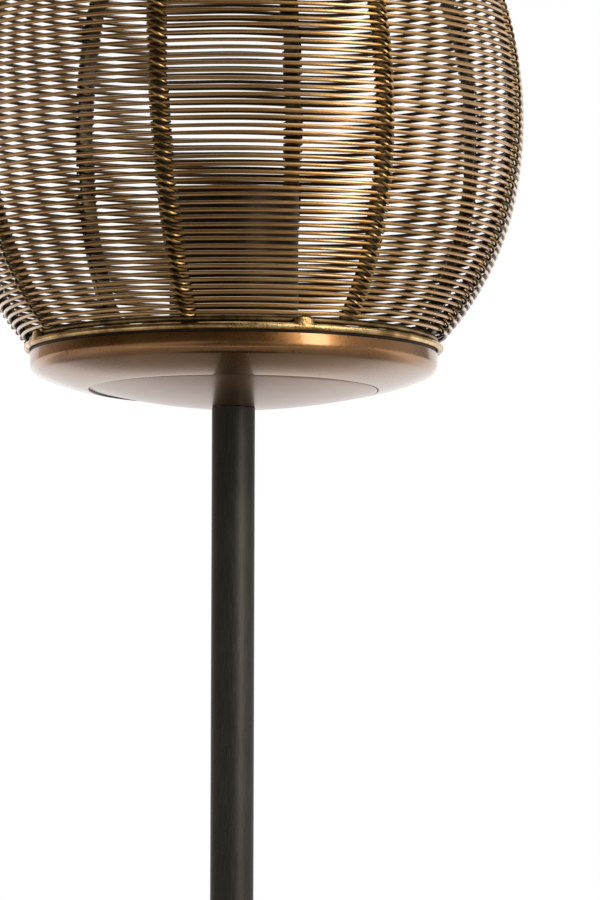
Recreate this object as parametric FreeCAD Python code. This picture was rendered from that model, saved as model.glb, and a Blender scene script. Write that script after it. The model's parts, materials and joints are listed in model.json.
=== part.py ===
import FreeCAD
import Part
import math
import os

from FreeCAD import Vector

# Table lamp: a round weighted base, a slim pole, a shallow tray with a lampholder in a cup,
# and a barrel shade of wire wound round flat ribs, which stands on a collar on the tray's lip.
# Sizes are in millimetres and degrees. The lamp stands on z = 0 with its pole on the Z axis,
# its front faces -Y and its mains lead comes in at the back, +Y.

# Clearances
seat_gap = 0.05  # between a piece and the flat seat that carries it
slip_gap = 0.3  # beside a piece that passes through or stands inside another
thread_gap = 0.05  # round a piece that is screwed or pressed in
weld_gap = 0.05  # between soldered wires, strips and feet
run_gap = 0.05  # round the sprung contact

# Base
base_radius = 88.0
base_edge_radius = 4.0
base_sheet = 1.5
felt_thickness = 2.0
felt_proud = 1.0  # felt below the skirt of the cover
weight_web = 4.3  # iron between the nut's pocket and the cover
cord_bore = 3.0
bush_wall = 1.0
bush_flange_width = 1.0
bush_flange_thickness = 1.5
bush_tail = 5.0  # length inside the skirt

# Pole and its screwed fittings
pole_radius = 8.0
pole_wall = 1.5
pole_length = 270.0
insert_wall = 1.5
insert_length = 20.0
nipple_wall = 1.5
nipple_grip = 14.0  # length screwed into an insert
nipple_end = 1.4  # thread past a nut
nut_wall = 3.0
nut_height = 5.0
washer_rim = 1.5  # washer past the nut's corners
washer_thickness = 1.5
spanner_room = 2.0  # round the washer in the weight's pocket

# Tray
tray_sheet = 1.2
tray_overhang = 1.0  # lip outside the shade's lower hoop
lip_height = 3.5
tray_corner_radius = 5.0
floor_slope_outer = 24.0
floor_slope_inner = 9.0
seam_radius = 55.3  # edge of the bowl's floor round the inset disc
seam_gap = 0.5
ledge_width = 8.0  # bowl's turned-in flange above the disc
dome_height = 6.7  # disc from its flat middle to its rim
land_margin = 2.0  # disc's flat middle past the pole
bridge_width = 18.0
bridge_thickness = 2.5
collar_wall = 1.6  # collar on the lip that carries and centres the shade
collar_height = 1.2
collar_inset = 0.4  # collar inside the lip's outer face

# Lampholder and its cup
cup_sheet = 1.0
cup_gap = 0.6
cup_edge_radius = 4.0
cup_proud = 3.7  # cup above the lampholder's rim
holder_radius = 23.0
holder_wall = 2.0
neck_wall = 3.0
neck_height = 7.5
holder_dome_height = 10.0
spigot_height = 4.0
core_rim_height = 3.5  # raised ring that carries the screw shell
core_rim_wall = 2.5
shell_bore = 13.3
shell_wall = 0.5
shell_length = 21.0
rim_lip = 2.0  # lampholder above the screw shell
contact_radius = 3.0
contact_flange_width = 1.0
contact_flange_thickness = 1.0
contact_proud = 2.5  # contact above the core's floor
contact_travel = 1.5
contact_keeper = 2.5  # core above the contact's flange
plate_rim = 1.5
plate_thickness = 0.8
spring_wire_radius = 0.35
spring_turns = 5
spring_slack = 2.2  # spring's length past its closed turns and the contact's travel
terminal_offset = 12.0
terminal_head_radius = 2.5
terminal_head_height = 1.5
terminal_shank_radius = 1.5
terminal_shank_length = 6.0

# Shade
belly_radius = 109.3  # outer face of the ribs at the widest place
belly_arc_radius = 149.0
belly_half_angle = 11.1
shoulder_arc_radius = 113.6
rib_end_angle = 43.0
rib_angles = (31.6, 77.7, 122.9, 166.7, 210.5, 255.0, 300.5, 345.5)  # set by hand, so not quite even
rib_width = 6.0
rib_thickness = 1.8
rib_tail = 1.9  # rib past the last turn of wire
wire_radius = 0.7
wire_gap = 0.2  # between the wound wire and the ribs
wire_start_angle = 30.5
wire_lengths = 6
turns_per_length = 10.875
splice_gap = 0.6  # between the ends of two wire lengths
hoop_wire_radius = 0.95
ring_wire_radius = 1.1
ring_overhang = 2.1  # foot ring outside the lip
ring_lift = 1.3  # foot ring above the lip
hoop_gap = 0.95  # between the foot ring and the lower hoop
foot_count = 4
foot_start_angle = 19.4
foot_width = 5.5
foot_cover = 1.0  # foot outside the hoop's wire
foot_gap = 0.1  # foot above the collar
leg_thickness = 1.0
leg_depth = 2.5

# How the coils are drawn and measured
steps_per_turn = 4
arcs_per_step = 2
points_per_arc = 4
tangent_step = 0.0001
touching = 0.000001

full_turn = 360.0
right_angle = 90.0
hexagon = 6
origin = Vector(0, 0, 0)
up = Vector(0, 0, 1)
back = Vector(0, 1, 0)


def cosine(angle):
    return math.cos(math.radians(angle))


def sine(angle):
    return math.sin(math.radians(angle))


# Radii of the screwed fittings, from the pole's wall inwards
pole_bore = pole_radius - pole_wall
insert_radius = pole_bore - thread_gap
insert_bore = insert_radius - insert_wall
nipple_radius = insert_bore - thread_gap
nipple_bore = nipple_radius - nipple_wall
screw_hole = nipple_radius + thread_gap
nipple_hole = nipple_radius + slip_gap
nut_flat = nipple_radius + nut_wall
nut_corner = nut_flat / cosine(full_turn / hexagon / 2)
washer_radius = nut_corner + washer_rim

# Levels of the base, from the table upwards
weight_bottom = felt_thickness + seat_gap
base_nut_bottom = weight_bottom + nipple_end
base_washer_bottom = base_nut_bottom + nut_height + seat_gap
pocket_top = base_washer_bottom + washer_thickness + seat_gap
weight_top = pocket_top + weight_web
cover_inside = weight_top + seat_gap
base_height = cover_inside + base_sheet
bush_radius = cord_bore + bush_wall
bush_level = felt_thickness + slip_gap + bush_radius
pole_foot = base_height + seat_gap
pole_head = pole_foot + pole_length

# Shade's meridian: a belly arc between two shoulder arcs, mirrored about the belly's level
belly_centre = belly_radius - belly_arc_radius
shoulder_centre = belly_centre + (belly_arc_radius - shoulder_arc_radius) * cosine(belly_half_angle)
shoulder_rise = (belly_arc_radius - shoulder_arc_radius) * sine(belly_half_angle)
rib_middle_arc = shoulder_arc_radius - rib_thickness / 2
hoop_step = hoop_wire_radius + weld_gap
hoop_radius = shoulder_centre + rib_middle_arc * cosine(rib_end_angle) - hoop_step * sine(rib_end_angle)
hoop_drop = shoulder_rise + rib_middle_arc * sine(rib_end_angle) + hoop_step * cosine(rib_end_angle)

# Tray's outline: lip, rounded corner, floor that flattens towards the seam
tray_radius = hoop_radius + tray_overhang
lip_inside = tray_radius - tray_sheet
corner_centre = tray_radius - tray_corner_radius
corner_turn = right_angle - floor_slope_outer
corner_foot = corner_centre + tray_corner_radius * cosine(corner_turn)
floor_arc_radius = (corner_foot - seam_radius) / (sine(floor_slope_outer) - sine(floor_slope_inner))
floor_drop = floor_arc_radius * (cosine(floor_slope_inner) - cosine(floor_slope_outer))
bowl_depth = lip_height + tray_corner_radius * sine(corner_turn) + floor_drop

# Inset disc: a flat middle on the pole's head and a dished rim
disc_bottom = pole_head + seat_gap
disc_radius = seam_radius - seam_gap
land_radius = pole_radius + land_margin
disc_slope = 2 * math.degrees(math.atan(dome_height / (disc_radius - land_radius)))
disc_arc_radius = (disc_radius - land_radius) / sine(disc_slope)
seam_level = disc_bottom + dome_height
lip_top = seam_level + bowl_depth

# Levels above the disc, from the bowl's ledge to the top of the cup
ledge_bottom = seam_level + tray_sheet * cosine(disc_slope) + seat_gap
ledge_top = ledge_bottom + tray_sheet
ledge_inside = seam_radius - ledge_width
bridge_bottom = ledge_top + seat_gap
head_washer_bottom = bridge_bottom + bridge_thickness + seat_gap
head_nut_bottom = head_washer_bottom + washer_thickness + seat_gap
cup_bottom = head_nut_bottom + nut_height + seat_gap
holder_bottom = cup_bottom + cup_sheet + seat_gap
neck_top = holder_bottom + neck_height
dome_top = neck_top + holder_dome_height
spigot_top = dome_top + spigot_height
core_bottom = spigot_top + seat_gap
plate_top = core_bottom + plate_thickness
spring_length = 2 * spring_wire_radius * spring_turns + contact_travel + spring_slack
contact_flange_bottom = plate_top + spring_length
contact_flange_top = contact_flange_bottom + contact_flange_thickness
core_top = contact_flange_top + run_gap + contact_keeper
contact_top = core_top + contact_proud
shell_bottom = core_top + core_rim_height + seat_gap
shell_top = shell_bottom + shell_length
holder_rim = shell_top + rim_lip
cup_top = holder_rim + cup_proud

# Radii of the lampholder
cup_radius = holder_radius + cup_gap + cup_sheet
spigot_radius = holder_radius - holder_wall - slip_gap
core_radius = spigot_radius
shell_radius = shell_bore + shell_wall
contact_flange_radius = contact_radius + contact_flange_width
contact_pocket = contact_flange_radius + run_gap

# Levels of the shade, from the tray's lip upwards
ring_radius = tray_radius + ring_overhang - ring_wire_radius
ring_level = lip_top + ring_lift + ring_wire_radius
hoop_level = ring_level + ring_wire_radius + hoop_gap + hoop_wire_radius
belly_level = hoop_level + hoop_drop
collar_radius = tray_radius - collar_inset
collar_bore = collar_radius - collar_wall
collar_bottom = lip_top + seat_gap
collar_top = collar_bottom + collar_height


def corner(radius, level):
    """A corner of a profile in the XZ plane."""
    return [Vector(radius, 0, level)]


def bend(centre_radius, centre_level, radius, start, end):
    """An arc of a profile in the XZ plane, as its first, middle and last point."""
    centre = Vector(centre_radius, 0, centre_level)
    return [
        centre + Vector(radius * cosine(angle), 0, radius * sine(angle))
        for angle in (start, (start + end) / 2, end)
    ]


def profile(*pieces):
    """A closed face through corners and bends, with straight edges where they do not touch."""
    edges = []
    for piece, following in zip(pieces, pieces[1:] + pieces[:1]):
        if len(piece) > 1:
            edges.append(Part.Arc(*piece).toShape())
        if piece[-1].distanceToPoint(following[0]) > touching:
            edges.append(Part.LineSegment(piece[-1], following[0]).toShape())
    return Part.Face(Part.Wire(edges))


def turned(*pieces):
    """A solid turned from a profile about the lamp's axis."""
    return profile(*pieces).revolve(origin, up, full_turn)


def tube(outside, inside, bottom, top):
    """A round tube on the lamp's axis."""
    return turned(corner(inside, bottom), corner(outside, bottom), corner(outside, top), corner(inside, top))


def rod(radius, bottom, top, x=0.0):
    """A round rod along Z."""
    return Part.makeCylinder(radius, top - bottom, Vector(x, 0, bottom), up)


def block(low, high):
    """A box between two corners."""
    size = high - low
    return Part.makeBox(size.x, size.y, size.z, low)


def at_angle(shape, angle):
    """A copy of a shape, turned about the lamp's axis."""
    copy = shape.copy()
    copy.rotate(origin, up, angle)
    return copy


def hex_nut(bottom):
    angles = [k * full_turn / hexagon for k in range(hexagon + 1)]
    corners = [Vector(nut_corner * cosine(angle), nut_corner * sine(angle), bottom) for angle in angles]
    prism = Part.Face(Part.makePolygon(corners)).extrude(up * nut_height)
    return prism.cut(rod(screw_hole, bottom, bottom + nut_height))


def washer(bottom):
    return tube(washer_radius, nipple_hole, bottom, bottom + washer_thickness)


def arc_from(start, tangent, end):
    """The arc that leaves start along tangent and passes through end."""
    chord = end - start
    along = chord * (tangent.dot(chord) / chord.dot(chord))
    side = (tangent - along).normalize()
    rise = chord.Length / 2 * math.tan(tangent.getAngle(chord) / 2)
    return Part.Arc(start, start + chord * 0.5 + side * rise, end).toShape()


def biarc(start, start_tangent, end, end_tangent):
    """Two arcs that join with one tangent and keep the tangents at both ends."""
    span = end - start
    tangents = span.dot(start_tangent + end_tangent)
    opening = 2 * (1 - start_tangent.dot(end_tangent))
    arm = (math.sqrt(tangents**2 + opening * span.dot(span)) - tangents) / opening
    middle = (start + start_tangent * arm + end - end_tangent * arm) * 0.5
    return [arc_from(start, start_tangent, middle), arc_from(end, end_tangent * -1, middle)]


def coil(name, place, first_turn, last_turn, radius):
    """A wire along place(turn), in biarcs of up to a quarter turn, with a straight run at each end."""
    steps = math.ceil((last_turn - first_turn) * steps_per_turn)
    stations = []
    for step in range(steps + 1):
        turn = first_turn + (last_turn - first_turn) * step / steps
        ahead = place(turn + tangent_step)
        behind = place(turn - tangent_step)
        stations.append((place(turn), (ahead - behind).normalize()))
    arcs = []
    for (start, start_tangent), (end, end_tangent) in zip(stations, stations[1:]):
        arcs += biarc(start, start_tangent, end, end_tangent)
    first, first_tangent = stations[0]
    last, last_tangent = stations[-1]
    tip = first - first_tangent * (2 * radius)
    tail = last + last_tangent * (2 * radius)
    lead_in = Part.LineSegment(tip, first).toShape()
    lead_out = Part.LineSegment(last, tail).toShape()
    path = Part.Wire([lead_in] + arcs + [lead_out])
    section = Part.Wire([Part.Circle(tip, first_tangent, radius).toShape()])
    wire = path.makePipeShell([section], True, False)
    report_coil(name, wire, path, arcs, radius)
    return wire


def report_coil(name, wire, path, arcs, radius):
    """Print the coil's volume against its length, and its least gap to the next turn."""
    one_turn = steps_per_turn * arcs_per_step
    gaps = []
    for index, arc in enumerate(arcs):
        neighbours = arcs[index + one_turn - 1:index + one_turn + 2]
        for point in arc.discretize(points_per_arc):
            gaps += [Part.Vertex(point).distToShape(near)[0] - 2 * radius for near in neighbours]
    tightest = min(arc.Curve.Radius for arc in arcs)
    share = wire.Volume / (path.Length * math.pi * radius**2)
    print(name, "length %.0f" % path.Length, "volume share %.4f" % share,
          "tightest bend %.2f" % tightest, "least gap to itself %.2f" % min(gaps))


def base_cover():
    outside_edge = base_radius - base_edge_radius
    edge_level = base_height - base_edge_radius
    inside_edge = base_edge_radius - base_sheet
    skirt_inside = base_radius - base_sheet
    cover = turned(
        corner(base_radius, felt_proud),
        bend(outside_edge, edge_level, base_edge_radius, 0, right_angle),
        corner(nipple_hole, base_height),
        corner(nipple_hole, cover_inside),
        bend(outside_edge, edge_level, inside_edge, right_angle, 0),
        corner(skirt_inside, felt_proud),
    )
    reach = base_radius + bush_flange_thickness
    hole = Part.makeCylinder(bush_radius + thread_gap, reach, Vector(0, 0, bush_level), back)
    return cover.cut(hole)


def base_weight():
    rim = base_radius - base_sheet - slip_gap
    pocket = washer_radius + spanner_room
    weight = turned(
        corner(pocket, weight_bottom),
        corner(rim, weight_bottom),
        bend(rim - base_edge_radius, weight_top - base_edge_radius, base_edge_radius, 0, right_angle),
        corner(nipple_hole, weight_top),
        corner(nipple_hole, pocket_top),
        corner(pocket, pocket_top),
    )
    groove_side = bush_radius + slip_gap
    groove = block(
        Vector(-groove_side, 0, weight_bottom),
        Vector(groove_side, base_radius, bush_level + groove_side),
    )
    return weight.cut(groove)


def base_felt():
    return rod(base_radius - base_sheet - slip_gap, 0, felt_thickness)


def cord_bush():
    flange_start = base_radius + seat_gap
    tail_end = base_radius - base_sheet - bush_tail
    centre = Vector(0, 0, bush_level)
    body = Part.makeCylinder(bush_radius, flange_start - tail_end, centre + back * tail_end, back)
    flange_radius = bush_radius + bush_flange_width
    flange = Part.makeCylinder(flange_radius, bush_flange_thickness, centre + back * flange_start, back)
    bore_length = flange_start + bush_flange_thickness - tail_end
    bore = Part.makeCylinder(cord_bore, bore_length, centre + back * tail_end, back)
    return body.fuse(flange).removeSplitter().cut(bore)


def tray_bowl():
    floor_radius = floor_arc_radius - tray_sheet
    floor_centre = seam_radius - floor_arc_radius * sine(floor_slope_inner)
    floor_level = seam_level + floor_arc_radius * cosine(floor_slope_inner)
    corner_level = lip_top - lip_height
    web_radius = seam_radius + tray_sheet
    web_slope = math.degrees(math.asin((web_radius - floor_centre) / floor_radius))
    inner_slope_end = floor_slope_inner - right_angle
    outer_slope_end = floor_slope_outer - right_angle
    return turned(
        corner(tray_radius, lip_top),
        bend(corner_centre, corner_level, tray_corner_radius, 0, outer_slope_end),
        bend(floor_centre, floor_level, floor_arc_radius, outer_slope_end, inner_slope_end),
        corner(seam_radius, ledge_bottom),
        corner(ledge_inside, ledge_bottom),
        corner(ledge_inside, ledge_top),
        corner(web_radius, ledge_top),
        bend(floor_centre, floor_level, floor_radius, web_slope - right_angle, outer_slope_end),
        bend(corner_centre, corner_level, tray_corner_radius - tray_sheet, outer_slope_end, 0),
        corner(lip_inside, lip_top),
    )


def tray_disc():
    centre_level = disc_bottom + disc_arc_radius
    rim_angle = disc_slope - right_angle
    return turned(
        corner(nipple_hole, disc_bottom),
        bend(land_radius, centre_level, disc_arc_radius, -right_angle, rim_angle),
        bend(land_radius, centre_level, disc_arc_radius - tray_sheet, rim_angle, -right_angle),
        corner(nipple_hole, disc_bottom + tray_sheet),
    )


def tray_bridge():
    reach = seam_radius - slip_gap
    half_width = bridge_width / 2
    bridge_top = bridge_bottom + bridge_thickness
    strap = block(Vector(-reach, -half_width, bridge_bottom), Vector(reach, half_width, bridge_top))
    rounded = strap.common(rod(reach, bridge_bottom, bridge_top))
    return rounded.cut(rod(nipple_hole, bridge_bottom, bridge_top))


def socket_cup():
    edge_radius = cup_radius - cup_edge_radius
    edge_level = cup_bottom + cup_edge_radius
    return turned(
        corner(nipple_hole, cup_bottom),
        bend(edge_radius, edge_level, cup_edge_radius, -right_angle, 0),
        corner(cup_radius, cup_top),
        corner(cup_radius - cup_sheet, cup_top),
        bend(edge_radius, edge_level, cup_edge_radius - cup_sheet, 0, -right_angle),
        corner(nipple_hole, cup_bottom + cup_sheet),
    )


def holder_dome():
    neck_radius = screw_hole + neck_wall
    spigot_inside = spigot_radius - holder_wall
    return turned(
        corner(screw_hole, holder_bottom),
        corner(neck_radius, holder_bottom),
        corner(neck_radius, neck_top),
        corner(holder_radius, dome_top),
        corner(spigot_radius, dome_top),
        corner(spigot_radius, spigot_top),
        corner(spigot_inside, spigot_top),
        corner(spigot_inside, dome_top),
        corner(screw_hole, neck_top + holder_wall),
    )


def holder_body():
    inside = holder_radius - holder_wall
    mouth = shell_radius + slip_gap
    return turned(
        corner(inside, dome_top + seat_gap),
        corner(holder_radius, dome_top + seat_gap),
        corner(holder_radius, holder_rim),
        corner(mouth, holder_rim),
        corner(mouth, holder_rim - holder_wall),
        corner(inside, holder_rim - holder_wall),
    )


def terminal_places():
    return [-terminal_offset, terminal_offset]


def holder_core():
    rim_inside = shell_radius - core_rim_wall
    rim_top = core_top + core_rim_height
    plate_recess = contact_pocket + plate_rim + thread_gap
    core = turned(
        corner(contact_pocket, plate_top),
        corner(plate_recess, plate_top),
        corner(plate_recess, core_bottom),
        corner(core_radius, core_bottom),
        corner(core_radius, core_top),
        corner(shell_radius, core_top),
        corner(shell_radius, rim_top),
        corner(rim_inside, rim_top),
        corner(rim_inside, core_top),
        corner(contact_radius + run_gap, core_top),
        corner(contact_radius + run_gap, core_top - contact_keeper),
        corner(contact_pocket, core_top - contact_keeper),
    )
    for x in terminal_places():
        hole_top = core_bottom + terminal_shank_length + seat_gap
        core = core.cut(rod(terminal_shank_radius + thread_gap, core_bottom, hole_top, x))
    return core


def holder_shell():
    return tube(shell_radius, shell_bore, shell_bottom, shell_top)


def contact_plate():
    return rod(contact_pocket + plate_rim, core_bottom, plate_top - seat_gap)


def centre_contact():
    flange = rod(contact_flange_radius, contact_flange_bottom, contact_flange_top)
    pin = rod(contact_radius, contact_flange_top, contact_top)
    return flange.fuse(pin).removeSplitter()


def contact_spring():
    coil_radius = contact_radius - spring_wire_radius
    first_level = plate_top + seat_gap + spring_wire_radius
    last_level = contact_flange_bottom - 2 * seat_gap - spring_wire_radius
    pitch = (last_level - first_level) / spring_turns

    def place(turn):
        angle = turn * full_turn
        return Vector(coil_radius * cosine(angle), coil_radius * sine(angle), first_level + turn * pitch)

    return coil("contact_spring", place, 0, spring_turns, spring_wire_radius)


def terminal_screws():
    screws = []
    head_top = core_bottom - seat_gap
    for x in terminal_places():
        head = rod(terminal_head_radius, head_top - terminal_head_height, head_top, x)
        shank = rod(terminal_shank_radius, head_top, core_bottom + terminal_shank_length, x)
        screws.append(head.fuse(shank).removeSplitter())
    return Part.makeCompound(screws)


def shade_rib():
    """A flat strip bent along the shade's meridian, standing in the XZ plane."""
    inside = -rib_thickness
    lower = belly_level - shoulder_rise
    upper = belly_level + shoulder_rise
    face = profile(
        bend(shoulder_centre, lower, shoulder_arc_radius, -rib_end_angle, -belly_half_angle),
        bend(belly_centre, belly_level, belly_arc_radius, -belly_half_angle, belly_half_angle),
        bend(shoulder_centre, upper, shoulder_arc_radius, belly_half_angle, rib_end_angle),
        bend(shoulder_centre, upper, shoulder_arc_radius + inside, rib_end_angle, belly_half_angle),
        bend(belly_centre, belly_level, belly_arc_radius + inside, belly_half_angle, -belly_half_angle),
        bend(shoulder_centre, lower, shoulder_arc_radius + inside, -belly_half_angle, -rib_end_angle),
    )
    face.translate(back * (-rib_width / 2))
    return face.extrude(back * rib_width)


# Wound wire: one helix over the ribs from the lower to the upper hoop, made up of several lengths
wire_rise = wire_gap + wire_radius
wire_belly_arc = belly_arc_radius + wire_rise
wire_shoulder_arc = shoulder_arc_radius + wire_rise
belly_run = wire_belly_arc * math.radians(belly_half_angle)
tail_angle = math.degrees(rib_tail / shoulder_arc_radius)
shoulder_run = wire_shoulder_arc * math.radians(rib_end_angle - tail_angle - belly_half_angle)
half_run = belly_run + shoulder_run
wire_turns = wire_lengths * turns_per_length
wire_pitch = 2 * half_run / wire_turns


def meridian(run):
    """Radius and height above the belly of the wire's middle, at a run along the meridian from the belly."""
    side = math.copysign(1, run)
    beyond = abs(run) - belly_run
    if beyond <= 0:
        angle = math.degrees(abs(run) / wire_belly_arc)
        return belly_centre + wire_belly_arc * cosine(angle), side * wire_belly_arc * sine(angle)
    angle = belly_half_angle + math.degrees(beyond / wire_shoulder_arc)
    height = shoulder_rise + wire_shoulder_arc * sine(angle)
    return shoulder_centre + wire_shoulder_arc * cosine(angle), side * height


def wire_place(turn):
    radius, height = meridian(turn * wire_pitch - half_run)
    angle = wire_start_angle + turn * full_turn
    return Vector(radius * cosine(angle), radius * sine(angle), belly_level + height)


def shade_wire(name, index):
    """One length of the wound wire, which stops short of its neighbours at the splices."""
    first = index * turns_per_length
    last = first + turns_per_length
    stop = 2 * wire_radius + splice_gap / 2
    if index > 0:
        first += stop / (2 * math.pi * wire_place(first).cross(up).Length)
    if index < wire_lengths - 1:
        last -= stop / (2 * math.pi * wire_place(last).cross(up).Length)
    return coil(name, wire_place, first, last, wire_radius)


def hoop(level):
    return Part.makeTorus(hoop_radius, hoop_wire_radius, Vector(0, 0, level), up)


def foot_ring():
    return Part.makeTorus(ring_radius, ring_wire_radius, Vector(0, 0, ring_level), up)


def shade_foot():
    """A small block soldered to the foot ring and the lower hoop, with a leg inside the tray's collar."""
    leg_outside = collar_bore - slip_gap
    inside = leg_outside - leg_thickness
    outside = hoop_radius + hoop_wire_radius + foot_cover
    half_width = foot_width / 2
    foot_bottom = collar_top + foot_gap
    foot_top = hoop_level + hoop_wire_radius
    pad = block(Vector(inside, -half_width, foot_bottom), Vector(outside, half_width, foot_top))
    leg_foot = Vector(inside, -half_width, collar_top - leg_depth)
    leg = block(leg_foot, Vector(leg_outside, half_width, foot_bottom))
    foot = pad.fuse(leg).removeSplitter()
    ring_seat = Part.makeTorus(ring_radius, ring_wire_radius + weld_gap, Vector(0, 0, ring_level), up)
    hoop_seat = Part.makeTorus(hoop_radius, hoop_wire_radius + weld_gap, Vector(0, 0, hoop_level), up)
    return foot.cut(ring_seat).cut(hoop_seat)


def base_parts():
    return {
        "base_cover": base_cover(),
        "base_weight": base_weight(),
        "base_felt": base_felt(),
        "cord_bush": cord_bush(),
        "base_washer": washer(base_washer_bottom),
        "base_nut": hex_nut(base_nut_bottom),
        "foot_nipple": tube(nipple_radius, nipple_bore, weight_bottom, pole_foot + nipple_grip),
        "foot_insert": tube(insert_radius, insert_bore, pole_foot, pole_foot + insert_length),
        "pole": tube(pole_radius, pole_bore, pole_foot, pole_head),
        "head_insert": tube(insert_radius, insert_bore, pole_head - insert_length, pole_head),
        "head_nipple": tube(nipple_radius, nipple_bore, pole_head - nipple_grip, neck_top),
    }


def tray_parts():
    return {
        "tray_disc": tray_disc(),
        "tray_bowl": tray_bowl(),
        "tray_collar": tube(collar_radius, collar_bore, collar_bottom, collar_top),
        "tray_bridge": tray_bridge(),
        "head_washer": washer(head_washer_bottom),
        "head_nut": hex_nut(head_nut_bottom),
        "socket_cup": socket_cup(),
    }


def holder_parts():
    return {
        "holder_dome": holder_dome(),
        "holder_body": holder_body(),
        "holder_core": holder_core(),
        "holder_shell": holder_shell(),
        "contact_plate": contact_plate(),
        "contact_spring": contact_spring(),
        "centre_contact": centre_contact(),
        "terminal_screws": terminal_screws(),
    }


def shade_parts():
    parts = {
        "shade_lower_hoop": hoop(hoop_level),
        "shade_upper_hoop": hoop(belly_level + hoop_drop),
        "shade_foot_ring": foot_ring(),
    }
    rib = shade_rib()
    for k, angle in enumerate(rib_angles):
        parts["shade_rib_%d" % (k + 1)] = at_angle(rib, angle)
    foot = shade_foot()
    for k in range(foot_count):
        angle = foot_start_angle + k * full_turn / foot_count
        parts["shade_foot_%d" % (k + 1)] = at_angle(foot, angle)
    for k in range(wire_lengths):
        name = "shade_wire_%d" % (k + 1)
        parts[name] = shade_wire(name, k)
    return parts


def main():
    os.makedirs("parts", exist_ok=True)
    parts = {**base_parts(), **tray_parts(), **holder_parts(), **shade_parts()}
    for name, shape in parts.items():
        shape.exportStep("parts/%s.step" % name)
        if not shape.isValid():
            print("not valid:", name)
    print("parts", len(parts), "lip %.2f" % lip_top, "cup %.2f" % cup_top, "tray radius %.2f" % tray_radius)
    print("shade from %.2f to %.2f" % (ring_level, belly_level + hoop_drop), "wire pitch %.3f" % wire_pitch)


main()
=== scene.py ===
# %% [markdown]
# # A table lamp with a wound wire shade
# A slim dark pole carries a shallow bronze tray, and a barrel of bronze wire stands on its lip.
# The wire is wound round eight flat ribs, and a thinner wire lashes every turn to every rib. Nothing of it is
# quite even: the ribs were set by hand and lean a little, and the turns wander.
# The solids of the lamp are already made and packed, so this lesson only dresses them: it loads the
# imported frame, replaces what needs more detail, and gives each surface its finish.

# %% Load the frame
import json
import math

import bmesh
import bpy
from mathutils import Euler, Matrix, Vector, noise


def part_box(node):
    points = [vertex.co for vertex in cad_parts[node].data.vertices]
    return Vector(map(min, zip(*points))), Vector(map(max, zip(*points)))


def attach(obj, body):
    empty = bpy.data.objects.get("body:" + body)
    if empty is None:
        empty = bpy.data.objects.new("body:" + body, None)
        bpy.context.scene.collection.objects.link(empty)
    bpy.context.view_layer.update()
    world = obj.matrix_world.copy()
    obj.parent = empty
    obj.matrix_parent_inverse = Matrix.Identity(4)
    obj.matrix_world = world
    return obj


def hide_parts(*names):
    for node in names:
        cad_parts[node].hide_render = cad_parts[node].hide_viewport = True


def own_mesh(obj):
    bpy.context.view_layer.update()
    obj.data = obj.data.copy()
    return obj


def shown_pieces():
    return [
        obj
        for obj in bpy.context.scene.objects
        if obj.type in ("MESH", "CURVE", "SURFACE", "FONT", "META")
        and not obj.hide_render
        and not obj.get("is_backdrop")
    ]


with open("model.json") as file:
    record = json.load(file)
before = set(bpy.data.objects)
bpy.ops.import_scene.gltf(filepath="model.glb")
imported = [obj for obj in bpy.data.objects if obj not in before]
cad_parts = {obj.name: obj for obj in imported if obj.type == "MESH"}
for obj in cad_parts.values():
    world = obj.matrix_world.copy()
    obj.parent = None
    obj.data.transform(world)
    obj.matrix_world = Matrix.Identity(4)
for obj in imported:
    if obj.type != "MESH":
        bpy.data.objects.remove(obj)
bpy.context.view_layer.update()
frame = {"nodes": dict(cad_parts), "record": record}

mm = 0.001
scene = bpy.context.scene
scene.view_settings.view_transform = "Standard"

# %% [markdown]
# ## Camera
# The lamp is seen from a little below the tray through a long lens, so the tray's underside just shows.
# The lens is given by its focal length in pixels of the 600 by 900 image, and the long side of the image
# is the side that the sensor width measures. The lens's height is taken from the tray's lip.

# %% Camera
image_height = 900
focal_pixels = 7120.0
lip_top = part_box("tray_bowl")[1].z
lens_distance = 2700 * mm
lens_below_lip = 302.1 * mm
aim_up_pixels = 700
aim_right_pixels = 67
aim_up = math.atan(aim_up_pixels / focal_pixels)
aim_right = math.atan(aim_right_pixels / focal_pixels)
roll = math.radians(0.15)

camera_data = bpy.data.cameras.new("camera")
camera_data.sensor_width = 36.0
camera_data.lens = camera_data.sensor_width * focal_pixels / image_height
camera = bpy.data.objects.new("camera", camera_data)
scene.collection.objects.link(camera)
camera.location = (0, -lens_distance, lip_top - lens_below_lip)
aim = Euler((math.pi / 2 + aim_up, 0, -aim_right)).to_matrix()
camera.rotation_euler = (aim @ Matrix.Rotation(roll, 3, "Z")).to_euler()
scene.camera = camera
print("lens", round(camera_data.lens), "mm at", [round(v / mm) for v in camera.location])

# %% [markdown]
# ## Shader maths in Python
# Node trees are easier to read as expressions. One class wraps a socket, so that `1 - mask` or
# `0.2 + 0.1 * grain` adds its own Math nodes. A second class holds one tree: its `node` method adds any
# other node, sets it first and then fills or links its sockets.


# %% Sockets as values
class Signal:
    """One output socket, which takes part in Python arithmetic."""

    def __init__(self, shader, socket):
        self.shader = shader
        self.socket = socket

    def maths(self, operation, first, second):
        return self.shader.node("ShaderNodeMath", {"operation": operation}, {0: first, 1: second})

    def __add__(self, other):
        return self.maths("ADD", self, other)

    def __radd__(self, other):
        return self.maths("ADD", other, self)

    def __sub__(self, other):
        return self.maths("SUBTRACT", self, other)

    def __rsub__(self, other):
        return self.maths("SUBTRACT", other, self)

    def __mul__(self, other):
        return self.maths("MULTIPLY", self, other)

    def __rmul__(self, other):
        return self.maths("MULTIPLY", other, self)

    def __truediv__(self, other):
        return self.maths("DIVIDE", self, other)

    def __pow__(self, other):
        return self.maths("POWER", self, other)


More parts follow.
